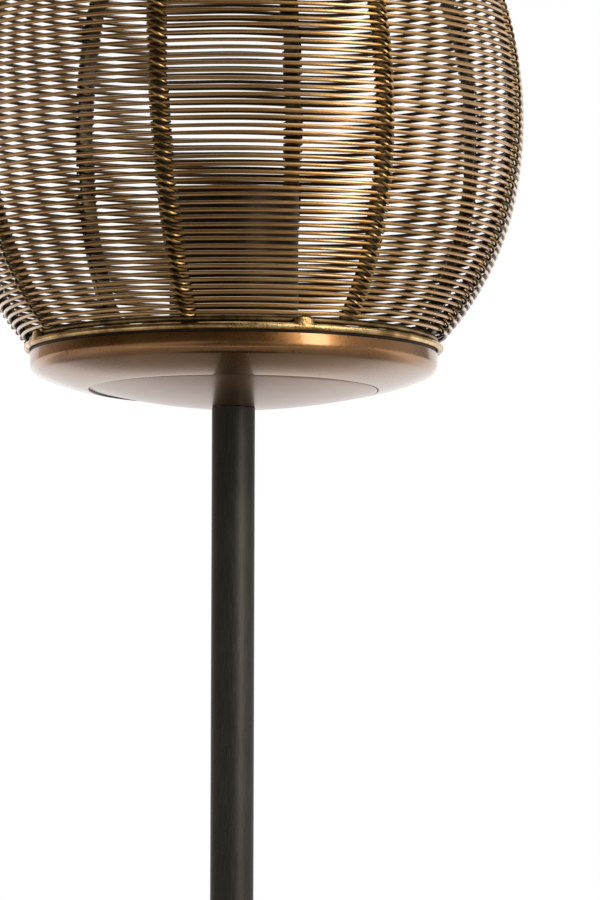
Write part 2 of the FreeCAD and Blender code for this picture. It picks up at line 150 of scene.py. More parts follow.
# %% One tree of nodes
class Shader:
    """The nodes of one material or of the world."""

    def __init__(self, tree):
        self.tree = tree
        tree.nodes.clear()

    def node(self, kind, settings, sockets, output=0):
        made = self.tree.nodes.new(kind)
        for name, value in settings.items():
            if name == "stops":
                self.set_stops(made.color_ramp, value)
            else:
                setattr(made, name, value)
        for key, value in sockets.items():
            if isinstance(value, Signal):
                self.tree.links.new(value.socket, made.inputs[key])
            else:
                made.inputs[key].default_value = value
        return Signal(self, made.outputs[output]) if made.outputs else made

    def set_stops(self, ramp, stops):
        while len(ramp.elements) < len(stops):
            ramp.elements.new(1.0)
        for element, (position, colour) in zip(ramp.elements, stops):
            element.position = position
            element.color = (*colour, 1)

    def place(self):
        return self.node("ShaderNodeTexCoord", {}, {}, "Object")

    def axes(self, vector):
        return [self.node("ShaderNodeSeparateXYZ", {}, {0: vector}, k) for k in range(3)]

    def stretched(self, vector, scale):
        return self.node("ShaderNodeMapping", {}, {"Vector": vector, "Scale": scale})

    def cloud(self, vector, size, detail=2.0, roughness=0.5):
        """Soft noise whose patches are about size metres across."""
        sockets = {"Vector": vector, "Scale": 1 / size, "Detail": detail, "Roughness": roughness}
        return self.node("ShaderNodeTexNoise", {}, sockets)

    def smooth(self, value, low, high):
        """A smooth step from 0 at low to 1 at high."""
        sockets = {"Value": value, "From Min": low, "From Max": high}
        return self.node("ShaderNodeMapRange", {"interpolation_type": "SMOOTHSTEP"}, sockets)

    def ramp(self, value, stops):
        return self.node("ShaderNodeValToRGB", {"stops": stops}, {0: value})

    def mix(self, factor, first, second):
        settings = {"data_type": "RGBA", "blend_type": "MIX"}
        return self.node("ShaderNodeMix", settings, {0: factor, 6: first, 7: second}, 2)

    def outward(self):
        """How far the surface faces away from the lamp's axis, from -1 to 1."""
        x, y, _ = self.axes(self.place())
        facing_x, facing_y, _ = self.axes(self.node("ShaderNodeNewGeometry", {}, {}, "Normal"))
        return (x * facing_x + y * facing_y) / (x * x + y * y) ** 0.5

    def bump(self, height, depth, strength=1.0):
        sockets = {"Strength": strength, "Distance": depth, "Height": height}
        return self.node("ShaderNodeBump", {}, sockets)


def finish(name):
    """A new material and its empty tree."""
    material = bpy.data.materials.new(name)
    material.use_nodes = True
    return material, Shader(material.node_tree)


def surface(shader, **sockets):
    """Close a material with one surface shader. Sockets are named as in the node, with spaces as _."""
    named = {key.replace("_", " "): value for key, value in sockets.items()}
    shaded = shader.node("ShaderNodeBsdfPrincipled", {}, named)
    shader.node("ShaderNodeOutputMaterial", {}, {"Surface": shaded})


print("shader helpers ready")

# %% [markdown]
# ## Studio
# The lamp stands before a bright white backdrop. A tall soft box lights it from the front right, and a
# weaker one from high on the right brightens the upper side of the wires there.
# Polished metal shows its surroundings, so the world is built for reflections: white behind the lamp,
# dim and warm in front of it, and a little brighter above, on the right and at the back left. The camera
# itself sees plain white.


# %% Studio world
def studio_world():
    world = bpy.data.worlds.new("studio")
    world.use_nodes = True
    scene.world = world
    shader = Shader(world.node_tree)
    direction = shader.node("ShaderNodeTexCoord", {}, {}, "Generated")
    right, away, up = shader.axes(direction)
    level = (right * right + away * away) ** 0.5
    behind = shader.smooth(away / level, 0.79, 0.84) * shader.smooth(up, -0.62, -0.36)
    ceiling = shader.smooth(up, 0.2, 0.8) * shader.smooth(away, -0.2, 0.4)
    window = shader.smooth(right / level, 0.35, 0.9)
    left_back = shader.smooth(away / level, 0.0, 0.8) * shader.smooth(right / level, 0.2, -0.2)
    room = 0.05 + 0.14 * ceiling + 0.36 * window + 0.42 * left_back
    seen = room + (1 - room) * behind
    path = {name: shader.node("ShaderNodeLightPath", {}, {}, name)
            for name in ("Is Camera Ray", "Is Glossy Ray", "Is Transmission Ray")}
    plain = 0.62
    soft = plain + (seen - plain) * path["Is Glossy Ray"]
    white = shader.node("ShaderNodeMath", {"operation": "MAXIMUM"},
                        {0: path["Is Camera Ray"], 1: path["Is Transmission Ray"]})
    strength = soft + (1 - soft) * white
    warm = path["Is Glossy Ray"] * (1 - behind) * (1 - window)
    colour = shader.mix(warm, (1, 1, 1, 1), (1, 0.84, 0.66, 1))
    background = shader.node("ShaderNodeBackground", {}, {"Color": colour, "Strength": strength})
    shader.node("ShaderNodeOutputWorld", {}, {"Surface": background})
    return world


print("world", studio_world().name)


# %% Soft box
def soft_box(name, turn, rise, distance, width, height, watts, colour):
    """An area light that faces the tray, turned to the right of the camera and raised, in degrees."""
    data = bpy.data.lights.new(name, "AREA")
    data.shape = "RECTANGLE"
    data.size = width
    data.size_y = height
    data.energy = watts
    data.color = colour
    light = bpy.data.objects.new(name, data)
    scene.collection.objects.link(light)
    flat = math.cos(math.radians(rise))
    towards = Vector((math.sin(math.radians(turn)) * flat, -math.cos(math.radians(turn)) * flat,
                      math.sin(math.radians(rise))))
    aimed_at = Vector((0, 0, lip_top))
    light.location = aimed_at + towards * distance
    light.rotation_euler = (-towards).to_track_quat("-Z", "Y").to_euler()
    light.visible_camera = False
    return light


key_light = soft_box("key_box", 46, 16, 1.5, 0.42, 1.5, 9, (1.0, 0.97, 0.93))
high_light = soft_box("high_box", 62, 42, 1.8, 1.7, 0.9, 6, (1.0, 0.98, 0.95))
for light in (key_light, high_light):
    print(light.name, "at", [round(v, 2) for v in light.location])


# %% [markdown]
# ## Floor
# The floor is pale and takes the lamp's shadow near the base. Further out it fades to the white of the
# backdrop, so that no horizon shows. In the metal's reflections it is dark in front of the lamp, with one
# pale line where a table's edge would be, and turns white towards the backdrop.


# %% Floor
def floor_finish():
    material, shader = finish("floor_pale")
    x, y, _ = shader.axes(shader.place())
    reach = (x * x + y * y) ** 0.5
    far = shader.smooth(reach, 0.25, 1.3)
    glossy = shader.node("ShaderNodeLightPath", {}, {}, "Is Glossy Ray")
    edge = shader.smooth(y, -0.42, -0.38) * shader.smooth(y, -0.32, -0.36)
    table = shader.smooth(y, -0.36, -0.3)
    mirrored = (0.1 + 0.13 * table + 0.8 * edge + 0.3 * shader.smooth(x, -0.15, -0.6)
                + 0.16 * shader.smooth(x, 0.1, 0.5) + 0.68 * shader.smooth(y + 0.3 * x, 0.22, 0.66))
    shown = 1 + (mirrored - 1) * glossy
    paint = shader.node("ShaderNodeBsdfDiffuse", {}, {"Color": (0.86, 0.86, 0.86, 1)})
    white = shader.node("ShaderNodeEmission", {}, {"Strength": shown})
    factor = shader.node("ShaderNodeMath", {"operation": "MAXIMUM"}, {0: far, 1: glossy})
    mixed = shader.node("ShaderNodeMixShader", {}, {0: factor, 1: paint, 2: white})
    shader.node("ShaderNodeOutputMaterial", {}, {"Surface": mixed})
    return material


def add_object(name, mesh, material):
    mesh.materials.clear()
    mesh.materials.append(material)
    made = bpy.data.objects.new(name, mesh)
    scene.collection.objects.link(made)
    return made


floor_mesh = bpy.data.meshes.new("floor")
shape = bmesh.new()
bmesh.ops.create_circle(shape, cap_ends=True, segments=64, radius=12)
shape.to_mesh(floor_mesh)
shape.free()
floor = add_object("floor", floor_mesh, floor_finish())
floor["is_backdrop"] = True
print("floor of", len(floor_mesh.vertices), "corners")

# %% [markdown]
# ## Finishes
# Antique bronze is a brown metal: its patina comes and goes in soft patches, and hands and polish leave
# it brighter in some places. Each finish below mixes two or three browns by noise at the scale of the
# real marks, varies the gloss by the same noise, and adds a little relief. The wires get painted shade:
# they are painted dark where they face the inside of the barrel and keep their bright browns where they
# face out. A clear coat on their outward faces turns them pale where the eye only grazes them, at the
# barrel's edge.


# %% Wire and lashing bronze
def wire_bronze():
    material, shader = finish("wire_bronze")
    place = shader.place()
    patches = shader.cloud(place, 22 * mm, 3)
    grain = shader.cloud(place, 1.1 * mm, 2)
    tone = 0.85 * patches + 0.15 * grain
    polished = shader.ramp(tone, [(0.34, (0.49, 0.257, 0.069)), (0.5, (0.62, 0.334, 0.098)),
                                  (0.66, (0.75, 0.42, 0.137))])
    # Painted shade: faces turned to the inside of the barrel get a dark brown, outward faces get the bright
    # browns and the coat
    painted_lit_side = shader.smooth(shader.outward(), -0.15, 0.75)
    colour = shader.mix(painted_lit_side, (0.14, 0.094, 0.052, 1), polished)
    surface(shader, Base_Color=colour, Metallic=1.0, Roughness=0.32 + 0.06 * grain,
            Coat_Weight=0.85 * painted_lit_side, Coat_Roughness=0.08, Coat_IOR=1.65,
            Normal=shader.bump(grain, 0.02 * mm, 0.1))
    return material


def lashing_bronze():
    material, shader = finish("lashing_bronze")
    place = shader.place()
    patches = shader.cloud(place, 9 * mm, 2)
    grain = shader.cloud(place, 0.7 * mm, 2)
    polished = shader.ramp(0.6 * patches + 0.4 * grain, [(0.36, (0.37, 0.22, 0.075)),
                                                         (0.52, (0.46, 0.28, 0.097)),
                                                         (0.68, (0.57, 0.36, 0.135))])
    # Painted shade: the lashing is painted dark where it faces into the barrel or tucks behind the rib, and
    # bright only where it faces straight out
    painted_lit_side = shader.smooth(shader.outward(), 0.25, 0.95)
    colour = shader.mix(painted_lit_side, (0.085, 0.058, 0.031, 1), polished)
    surface(shader, Base_Color=colour, Metallic=1.0, Roughness=0.26 + 0.1 * grain,
            Normal=shader.bump(grain, 0.03 * mm, 0.2))
    return material


print("wire finishes ready")


# %% Rib, hoop and ring bronze
def rib_bronze():
    material, shader = finish("rib_bronze")
    place = shader.place()
    scale = shader.cloud(place, 3 * mm, 4, 0.6)
    colour = shader.ramp(scale, [(0.35, (0.085, 0.066, 0.038)), (0.6, (0.17, 0.128, 0.07)),
                                 (0.75, (0.27, 0.195, 0.102))])
    surface(shader, Base_Color=colour, Metallic=0.85, Roughness=0.34 + 0.25 * scale,
            Normal=shader.bump(scale, 0.12 * mm, 0.4))
    return material


def hoop_bronze():
    material, shader = finish("hoop_bronze")
    place = shader.place()
    patches = shader.cloud(place, 7 * mm, 4, 0.6)
    colour = shader.ramp(patches, [(0.35, (0.16, 0.105, 0.045)), (0.55, (0.36, 0.24, 0.10)),
                                   (0.72, (0.54, 0.38, 0.17))])
    surface(shader, Base_Color=colour, Metallic=1.0, Roughness=0.3 + 0.2 * patches,
            Normal=shader.bump(patches, 0.15 * mm, 0.4))
    return material


def ring_brass():
    material, shader = finish("ring_brass")
    place = shader.place()
    patches = shader.cloud(place, 11 * mm, 3)
    x, _, _ = shader.axes(place)
    spilt = shader.smooth(x, -10 * mm, 8 * mm) * shader.smooth(x, 56 * mm, 40 * mm)
    crumbs = (0.2 + 0.8 * spilt) * shader.cloud(place, 0.7 * mm, 2, 0.6)
    tone = 0.62 * patches + 0.38 * crumbs + 0.19 - 0.11 * spilt
    colour = shader.ramp(tone, [(0.38, (0.17, 0.088, 0.028)), (0.5, (0.40, 0.225, 0.074)),
                                (0.62, (0.92, 0.65, 0.29))])
    surface(shader, Base_Color=colour, Metallic=1.0, Roughness=0.2 + 0.22 * crumbs,
            Normal=shader.bump(crumbs, 0.3 * mm, 0.6))
    return material


print("rib, hoop and ring finishes ready")


# %% Tray bronze
def tray_bronze(name, gloss, coat, coat_gloss):
    """Spun sheet under clear lacquer: brown patina in soft patches, small dark pits, and painted shade that
    darkens the inward-facing walls.
    """
    material, shader = finish(name)
    place = shader.place()
    patches = shader.cloud(place, 26 * mm, 4, 0.55)
    specks = shader.cloud(place, 0.9 * mm, 2)
    pits = shader.smooth(shader.cloud(place, 1.5 * mm, 1), 0.70, 0.76)
    tone = 0.85 * patches + 0.15 * specks
    brown = shader.ramp(tone, [(0.34, (0.30, 0.128, 0.038)), (0.5, (0.38, 0.172, 0.054)),
                               (0.66, (0.47, 0.23, 0.08))])
    # Painted shade: walls that face the lamp's axis, inside the lip and corner, are painted almost black and
    # lose most of the coat
    painted_inner_shade = shader.smooth(shader.outward(), -0.2, -0.6)
    colour = shader.mix(pits * 0.5, brown, (0.08, 0.045, 0.02, 1))
    colour = shader.mix(painted_inner_shade, colour, (0.03, 0.018, 0.01, 1))
    surface(shader, Base_Color=colour, Metallic=1.0, Roughness=gloss + 0.1 * patches + 0.06 * specks,
            Coat_Weight=coat - 0.4 * pits - 0.4 * painted_inner_shade, Coat_Roughness=coat_gloss, Coat_IOR=1.5,
            Normal=shader.bump(patches * 0.3 - pits, 0.02 * mm, 0.15))
    return material


# %% Pole and cup bronze
def pole_bronze():
    material, shader = finish("pole_bronze")
    place = shader.place()
    drawn = shader.cloud(shader.stretched(place, (1, 1, 0.06)), 0.5 * mm, 3, 0.6)
    grain = shader.cloud(place, 0.45 * mm, 2)
    clouds = shader.cloud(place, 40 * mm, 2)
    tone = 0.45 * drawn + 0.25 * grain + 0.3 * clouds
    colour = shader.ramp(tone, [(0.36, (0.044, 0.039, 0.031)), (0.5, (0.064, 0.058, 0.047)),
                                (0.66, (0.093, 0.084, 0.067))])
    surface(shader, Base_Color=colour, Metallic=0.8, Roughness=0.42 + 0.14 * drawn,
            Normal=shader.bump(grain, 0.03 * mm, 0.3))
    return material


def cup_bronze():
    material, shader = finish("cup_bronze")
    place = shader.place()
    patches = shader.cloud(place, 14 * mm, 3)
    grain = shader.cloud(place, 0.6 * mm, 2)
    colour = shader.ramp(0.6 * patches + 0.4 * grain, [(0.38, (0.022, 0.016, 0.010)),
                                                       (0.55, (0.044, 0.032, 0.020)),
                                                       (0.7, (0.08, 0.058, 0.034))])
    surface(shader, Base_Color=colour, Metallic=0.8, Roughness=0.4 + 0.15 * grain,
            Normal=shader.bump(grain, 0.04 * mm, 0.3))
    return material


print("tray, pole and cup finishes ready")


# %% [markdown]
# ## Finishes of the inner pieces
# The lampholder is black moulded plastic round a glazed porcelain core and a brass screw shell. The base
# holds a cast iron weight over felt, and zinc plated nuts and washers clamp it all together. They are
# hardly seen, but each still has the marks of how it was made.


# %% Metals of the fittings
def fitting_metal(name, tones, gloss, mark_size, relief):
    """A plain metal with marks of one size, from its dark, middle and light colour."""
    material, shader = finish(name)
    place = shader.place()
    marks = shader.cloud(place, mark_size, 4, 0.6)
    dark, middle, light = tones
    colour = shader.ramp(marks, [(0.36, dark), (0.52, middle), (0.68, light)])
    surface(shader, Base_Color=colour, Metallic=1.0, Roughness=gloss + 0.2 * marks,
            Normal=shader.bump(marks, relief, 0.4))
    return material


def cast_iron():
    tones = ((0.025, 0.024, 0.023), (0.05, 0.048, 0.046), (0.09, 0.085, 0.08))
    return fitting_metal("cast_iron", tones, 0.5, 1.5 * mm, 0.3 * mm)


def zinc_steel():
    tones = ((0.48, 0.48, 0.47), (0.62, 0.62, 0.60), (0.74, 0.74, 0.71))
    return fitting_metal("zinc_steel", tones, 0.22, 2.5 * mm, 0.03 * mm)


def spring_steel():
    tones = ((0.38, 0.38, 0.39), (0.55, 0.55, 0.55), (0.66, 0.66, 0.65))
    return fitting_metal("spring_steel", tones, 0.2, 1.2 * mm, 0.02 * mm)


def contact_brass():
    tones = ((0.56, 0.41, 0.17), (0.74, 0.56, 0.27), (0.85, 0.69, 0.38))
    return fitting_metal("contact_brass", tones, 0.18, 4.0 * mm, 0.02 * mm)


# %% Plastic, porcelain and felt
def moulded_plastic(name):
    material, shader = finish(name)
    place = shader.place()
    texture = shader.cloud(place, 0.35 * mm, 2)
    wear = shader.cloud(place, 9 * mm, 3)
    colour = shader.ramp(wear, [(0.3, (0.012, 0.012, 0.012)), (0.7, (0.030, 0.029, 0.028))])
    surface(shader, Base_Color=colour, Roughness=0.38 + 0.16 * texture,
            Normal=shader.bump(texture, 0.03 * mm, 0.4))
    return material


def porcelain():
    material, shader = finish("porcelain")
    place = shader.place()
    glaze = shader.cloud(place, 6 * mm, 3)
    specks = shader.smooth(shader.cloud(place, 0.9 * mm, 1), 0.72, 0.78)
    white = shader.ramp(glaze, [(0.3, (0.74, 0.72, 0.67)), (0.7, (0.84, 0.83, 0.79))])
    colour = shader.mix(specks * 0.5, white, (0.4, 0.34, 0.26, 1))
    surface(shader, Base_Color=colour, Roughness=0.1 + 0.08 * glaze, Coat_Weight=0.4,
            Normal=shader.bump(glaze, 0.15 * mm, 0.25))
    return material


def felt():
    material, shader = finish("felt")
    place = shader.place()
    fibres = shader.cloud(shader.stretched(place, (1, 0.35, 1)), 0.25 * mm, 4, 0.7)
    clumps = shader.cloud(place, 2.2 * mm, 3)
    colour = shader.ramp(0.5 * fibres + 0.5 * clumps, [(0.35, (0.010, 0.010, 0.010)),
                                                       (0.65, (0.045, 0.044, 0.042))])
    surface(shader, Base_Color=colour, Roughness=0.95, Sheen_Weight=0.3,
            Normal=shader.bump(fibres + clumps, 0.3 * mm, 0.7))
    return material


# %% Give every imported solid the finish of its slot
finishes = {
    "wire_bronze": wire_bronze(),
    "rib_bronze": rib_bronze(),
    "hoop_bronze": hoop_bronze(),
    "ring_brass": ring_brass(),
    "tray_bronze": tray_bronze("tray_bronze", 0.2, 0.87, 0.08),
    "pole_bronze": pole_bronze(),
    "cup_bronze": cup_bronze(),
    "cast_iron": cast_iron(),
    "felt": felt(),
    "zinc_steel": zinc_steel(),
    "spring_steel": spring_steel(),
    "holder_plastic": moulded_plastic("holder_plastic"),
    "porcelain": porcelain(),
    "contact_brass": contact_brass(),
    "bush_plastic": moulded_plastic("bush_plastic"),
}
slot_of = {part["node"]: part["material_slot"] for part in frame["record"]["subparts"]}
for node, solid in frame["nodes"].items():
    solid.data.materials.clear()
    solid.data.materials.append(finishes[slot_of[node]])
print(len(finishes), "finishes on", len(slot_of), "solids")

# %% [markdown]
# ## Spun pieces
# The tray, its disc, the cup, the pole and the base are round, so one half outline spun about the axis
# makes each of them. A bevel then rounds every sharp edge, because a real sheet edge always catches a
# thin line of light. Arcs of an outline come from a centre, a radius and two angles.


# %% Outlines and spinning
round_steps = 192
edge_angle = math.radians(28)


def arc(centre_radius, centre_level, radius, start, end, steps):
    """Points of an outline on an arc, with angles in degrees from the outward direction."""
    angles = [math.radians(start + (end - start) * k / steps) for k in range(steps + 1)]
    return [(centre_radius + radius * math.cos(a), centre_level + radius * math.sin(a)) for a in angles]


def soften(shape, width, segments=3):
    """Round the sharp edges of a bmesh."""
    sharp = [e for e in shape.edges if len(e.link_faces) == 2 and e.calc_face_angle() > edge_angle]
    bmesh.ops.bevel(shape, geom=sharp, offset=width, offset_type="OFFSET", segments=segments, profile=0.5,
                    affect="EDGES", material=-1, clamp_overlap=True)


def close_mesh(shape, name):
    """Merge doubles, turn faces outwards and shade smoothly between sharp edges."""
    bmesh.ops.remove_doubles(shape, verts=shape.verts, dist=0.001 * mm)
    bmesh.ops.recalc_face_normals(shape, faces=shape.faces)
    mesh = bpy.data.meshes.new(name)
    shape.to_mesh(mesh)
    shape.free()
    mesh.shade_smooth()
    mesh.set_sharp_from_angle(angle=edge_angle)
    return mesh


def spin_outline(outline, edge_width, steps=round_steps):
    """A bmesh spun about the lamp's axis from a closed outline of (radius, level) points, with soft edges."""
    shape = bmesh.new()
    corners = [shape.verts.new((radius, 0, level)) for radius, level in outline]
    edges = [shape.edges.new(pair) for pair in zip(corners, corners[1:] + corners[:1])]
    bmesh.ops.spin(shape, geom=corners + edges, cent=(0, 0, 0), axis=(0, 0, 1), angle=2 * math.pi,
                   steps=steps, use_merge=True)
    bmesh.ops.remove_doubles(shape, verts=shape.verts, dist=0.001 * mm)
    bmesh.ops.recalc_face_normals(shape, faces=shape.faces)
    soften(shape, edge_width)
    return shape


def stand_in(mesh, body, slot, *nodes):
    """Put a finished mesh in the scene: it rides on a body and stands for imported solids, if any."""
    piece = add_object(mesh.name, mesh, finishes[slot])
    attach(piece, body)
    if nodes:
        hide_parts(*nodes)
    print(piece.name, len(mesh.polygons), "faces")
    return piece


# %% [markdown]
# ## Tray
# The tray is spun from sheet: a short upright lip, a tight corner, and a floor that flattens towards the
# seam. Inside the seam the floor is turned up and in, and a separate dished disc, fitted by hand and not
# quite level, sits below that ledge.
# A dark collar stands on the lip, and the shade's feet straddle it.

# %% Tray bowl, disc and collar
tray_low, tray_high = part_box("tray_bowl")
disc_low, disc_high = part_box("tray_disc")
tray_sheet = 1.2 * mm
lip_height = 3.5 * mm
tray_corner = 5.0 * mm
slope_outer = 24.0
slope_inner = 9.0
seam_radius = 55.3 * mm
ledge_width = 8.0 * mm
seat_gap = 0.05 * mm
seam_step = 0.2 * mm
disc_land = 2.0 * mm
nipple_hole = 3.68 * mm
disc_tilt = math.radians(0.49)
collar_wall = 1.6 * mm
collar_upstand = 1.05 * mm
tray_radius = tray_high.x
ledge_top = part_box("tray_bridge")[0].z - seat_gap
collar_low, collar_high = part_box("tray_collar")
seat_top = collar_high.z + collar_upstand


def sine(degrees):
    return math.sin(math.radians(degrees))


def cosine(degrees):
    return math.cos(math.radians(degrees))


def tray_bowl():
    corner_centre = tray_radius - tray_corner
    corner_level = lip_top - lip_height
    corner_end = slope_outer - 90
    foot = corner_centre + tray_corner * cosine(corner_end)
    floor_radius = (foot - seam_radius) / (sine(slope_outer) - sine(slope_inner))
    floor_centre = seam_radius - floor_radius * sine(slope_inner)
    floor_level = tray_low.z + floor_radius * cosine(slope_inner)
    inside = floor_radius - tray_sheet
    web = seam_radius + tray_sheet
    web_angle = math.degrees(math.asin((web - floor_centre) / inside)) - 90
    outline = [(tray_radius, lip_top)]
    outline += arc(corner_centre, corner_level, tray_corner, 0, corner_end, 14)
    outline += arc(floor_centre, floor_level, floor_radius, corner_end, slope_inner - 90, 16)[1:]
    outline += [(seam_radius, ledge_top - tray_sheet), (seam_radius - ledge_width, ledge_top - tray_sheet),
                (seam_radius - ledge_width, ledge_top), (web, ledge_top)]
    outline += arc(floor_centre, floor_level, inside, web_angle, corner_end, 12)
    outline += arc(corner_centre, corner_level, tray_corner - tray_sheet, corner_end, 0, 10)[1:]
    outline += [(tray_radius - tray_sheet, lip_top)]
    return close_mesh(spin_outline(outline, 0.3 * mm, 256), "bronze_tray")


def tray_disc():
    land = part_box("pole")[1].x + disc_land
    rise = tray_low.z - disc_low.z
    width = disc_high.x - land
    steps = [k / 16 for k in range(17)]
    outline = [(nipple_hole, disc_low.z)]
    dished = [(land + width * k, disc_low.z + (rise + seam_step) * (k + k ** 2) / 2) for k in steps]
    outline += dished
    outline += [(radius, level + tray_sheet - seam_step) for radius, level in reversed(dished)]
    outline += [(nipple_hole, disc_low.z + tray_sheet - seam_step)]
    shape = spin_outline(outline, 0.25 * mm, 256)
    tilt = Matrix.Rotation(disc_tilt, 3, "Y")
    bmesh.ops.rotate(shape, cent=(0, 0, disc_low.z), matrix=tilt, verts=shape.verts)
    bmesh.ops.translate(shape, vec=(0, 0, land * math.sin(disc_tilt)), verts=shape.verts)
    return close_mesh(shape, "bronze_disc")


def tray_collar():
    outside = collar_high.x
    bore = outside - collar_wall
    outline = [(bore, collar_low.z), (outside, collar_low.z), (outside, seat_top), (bore, seat_top)]
    return close_mesh(spin_outline(outline, 0.15 * mm), "shade_seat")


stand_in(tray_bowl(), "stem", "tray_bronze", "tray_bowl")
disc = stand_in(tray_disc(), "stem", "tray_bronze", "tray_disc")
disc.data.materials[0] = tray_bronze("disc_bronze", 0.3, 0.95, 0.2)
stand_in(tray_collar(), "stem", "cup_bronze", "tray_collar")

# %% [markdown]
# ## Pole and base
# The pole is a drawn tube, whose dark skin makes it a hair thicker than its solid. The base cover is a
# shallow spun cap with a rolled top edge, over a felt pad that stands a little proud of the skirt. A bush
# lines the hole where a lead would enter at the back.


# %% Pole, base cover, felt and bush
def pole():
    low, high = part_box("pole")
    wall = 1.5 * mm
    skin = 0.22 * mm
    outer = high.x + skin
    outline = [(outer, low.z), (outer, high.z), (outer - wall, high.z), (outer - wall, low.z)]
    return close_mesh(spin_outline(outline, 0.25 * mm, 128), "dark_pole")


def base_cover():
    low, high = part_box("base_cover")
    sheet = 1.5 * mm
    edge = 4.0 * mm
    outline = [(high.x, low.z)]
    outline += arc(high.x - edge, high.z - edge, edge, 0, 90, 12)
    outline += [(nipple_hole, high.z), (nipple_hole, high.z - sheet)]
    outline += arc(high.x - edge, high.z - edge, edge - sheet, 90, 0, 8)
    outline += [(high.x - sheet, low.z)]
    return close_mesh(spin_outline(outline, 0.3 * mm), "base_cap")


def base_felt():
    low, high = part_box("base_felt")
    outline = [(0, low.z), (high.x, low.z), (high.x, high.z), (0, high.z)]
    return close_mesh(spin_outline(outline, 0.5 * mm), "felt_pad")


def cord_bush():
    low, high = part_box("cord_bush")
    centre = Vector((0, 0, (low.z + high.z) / 2))
    flange = high.x
    bore = 3.0 * mm
    body = 4.0 * mm
    flange_start = high.y - 1.5 * mm
    outline = [(bore, low.y), (body, low.y), (body, flange_start), (flange, flange_start), (flange, high.y),
               (bore, high.y)]
    shape = spin_outline(outline, 0.4 * mm, 48)
    turn = Matrix.Translation(centre) @ Matrix.Rotation(-math.pi / 2, 4, "X")
    bmesh.ops.transform(shape, matrix=turn, verts=shape.verts)
    return close_mesh(shape, "lead_bush")


stand_in(pole(), "stem", "pole_bronze", "pole")
stand_in(base_cover(), "stem", "pole_bronze", "base_cover")
stand_in(base_felt(), "stem", "felt", "base_felt")
stand_in(cord_bush(), "stem", "bush_plastic", "cord_bush")

# %% [markdown]
# ## Lampholder
# A dark cup inside the shade hides the lampholder. Seen from above there is the cup's rim, the black
# collar of the holder, the brass screw shell and the sprung contact in its porcelain core. The screw
# shell's thread is one short wave of its wall that is spun with a rise of one pitch each turn.


# %% Cup, collar and screw shell
def socket_cup():
    low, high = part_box("socket_cup")
    sheet = 1.0 * mm
    edge = 4.0 * mm
    outline = [(nipple_hole, low.z)]
    outline += arc(high.x - edge, low.z + edge, edge, -90, 0, 10)
    outline += [(high.x, high.z), (high.x - sheet, high.z)]
    outline += arc(high.x - edge, low.z + edge, edge - sheet, 0, -90, 8)
    outline += [(nipple_hole, low.z + sheet)]
    return close_mesh(spin_outline(outline, 0.3 * mm, 128), "socket_sleeve")


def holder_collar():
    low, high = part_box("holder_body")
    wall = 2.0 * mm
    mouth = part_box("holder_shell")[1].x + 0.3 * mm
    outline = [(high.x - wall, low.z), (high.x, low.z), (high.x, high.z), (mouth, high.z),
               (mouth, high.z - wall), (high.x - wall, high.z - wall)]
    return close_mesh(spin_outline(outline, 0.6 * mm, 128), "holder_collar")


def screw_shell():
    low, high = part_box("holder_shell")
    wall = 0.25 * mm
    depth = 0.9 * mm
    turns = 6
    pitch = (high.z - low.z) / (turns + 1)
    steps = 48
    wave = 8
    outside = high.x
    shape = bmesh.new()
    points = []
    for k in range(wave + 1):
        dip = depth * (0.5 - 0.5 * math.cos(2 * math.pi * k / wave))
        points.append(shape.verts.new((outside - dip, 0, low.z + pitch * k / wave)))
    edges = [shape.edges.new(pair) for pair in zip(points, points[1:])]
    bmesh.ops.spin(shape, geom=points + edges, cent=(0, 0, 0), axis=(0, 0, 1),
                   dvec=(0, 0, pitch / steps), angle=2 * math.pi * turns, steps=steps * turns)
    bmesh.ops.remove_doubles(shape, verts=shape.verts, dist=0.01 * mm)
    bmesh.ops.recalc_face_normals(shape, faces=shape.faces)
    bmesh.ops.solidify(shape, geom=shape.faces[:], thickness=wall)
    return close_mesh(shape, "screw_shell")


stand_in(socket_cup(), "stem", "cup_bronze", "socket_cup")
stand_in(holder_collar(), "stem", "holder_plastic", "holder_body")
stand_in(screw_shell(), "stem", "contact_brass", "holder_shell")

# %% [markdown]
# ## Ribs
# Each rib is a flat strip bent along the barrel's side: a long belly arc between two shoulder arcs. A
# four cornered section spun about the centre of each arc in turn makes the strip, and a bevel takes the
# sharpness off its edges.

# %% The barrel's side
belly_radius = 109.3 * mm
belly_arc = 149.0 * mm
belly_half_angle = math.radians(11.1)
shoulder_arc = 113.6 * mm
rib_end_angle = math.radians(43.0)
rib_leans = [math.radians(degrees) / mm for degrees in (0, 0.012, -0.02, 0.02, -0.015, 0.027, 0.027, -0.01)]
rib_width = 6.0 * mm
rib_thickness = 1.8 * mm
belly_level = (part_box("shade_upper_hoop")[1].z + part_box("shade_lower_hoop")[0].z) / 2
belly_centre = belly_radius - belly_arc
shoulder_centre = belly_centre + (belly_arc - shoulder_arc) * math.cos(belly_half_angle)
shoulder_rise = (belly_arc - shoulder_arc) * math.sin(belly_half_angle)


def bearing(node):
    """Angle about the lamp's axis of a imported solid's middle."""
    low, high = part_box(node)
    return math.atan2(low.y + high.y, low.x + high.x)


rib_nodes = sorted(n for n in frame["nodes"] if n.startswith("shade_rib_"))
rib_bearings = [bearing(node) for node in rib_nodes]
print("ribs at", [round(math.degrees(b), 1) for b in rib_bearings])


# %% Rib strips
def lean(index, level):
    """How far a rib has turned about the lamp's axis at a level: it leans over from foot to head."""
    return rib_leans[index] * (belly_level - level)


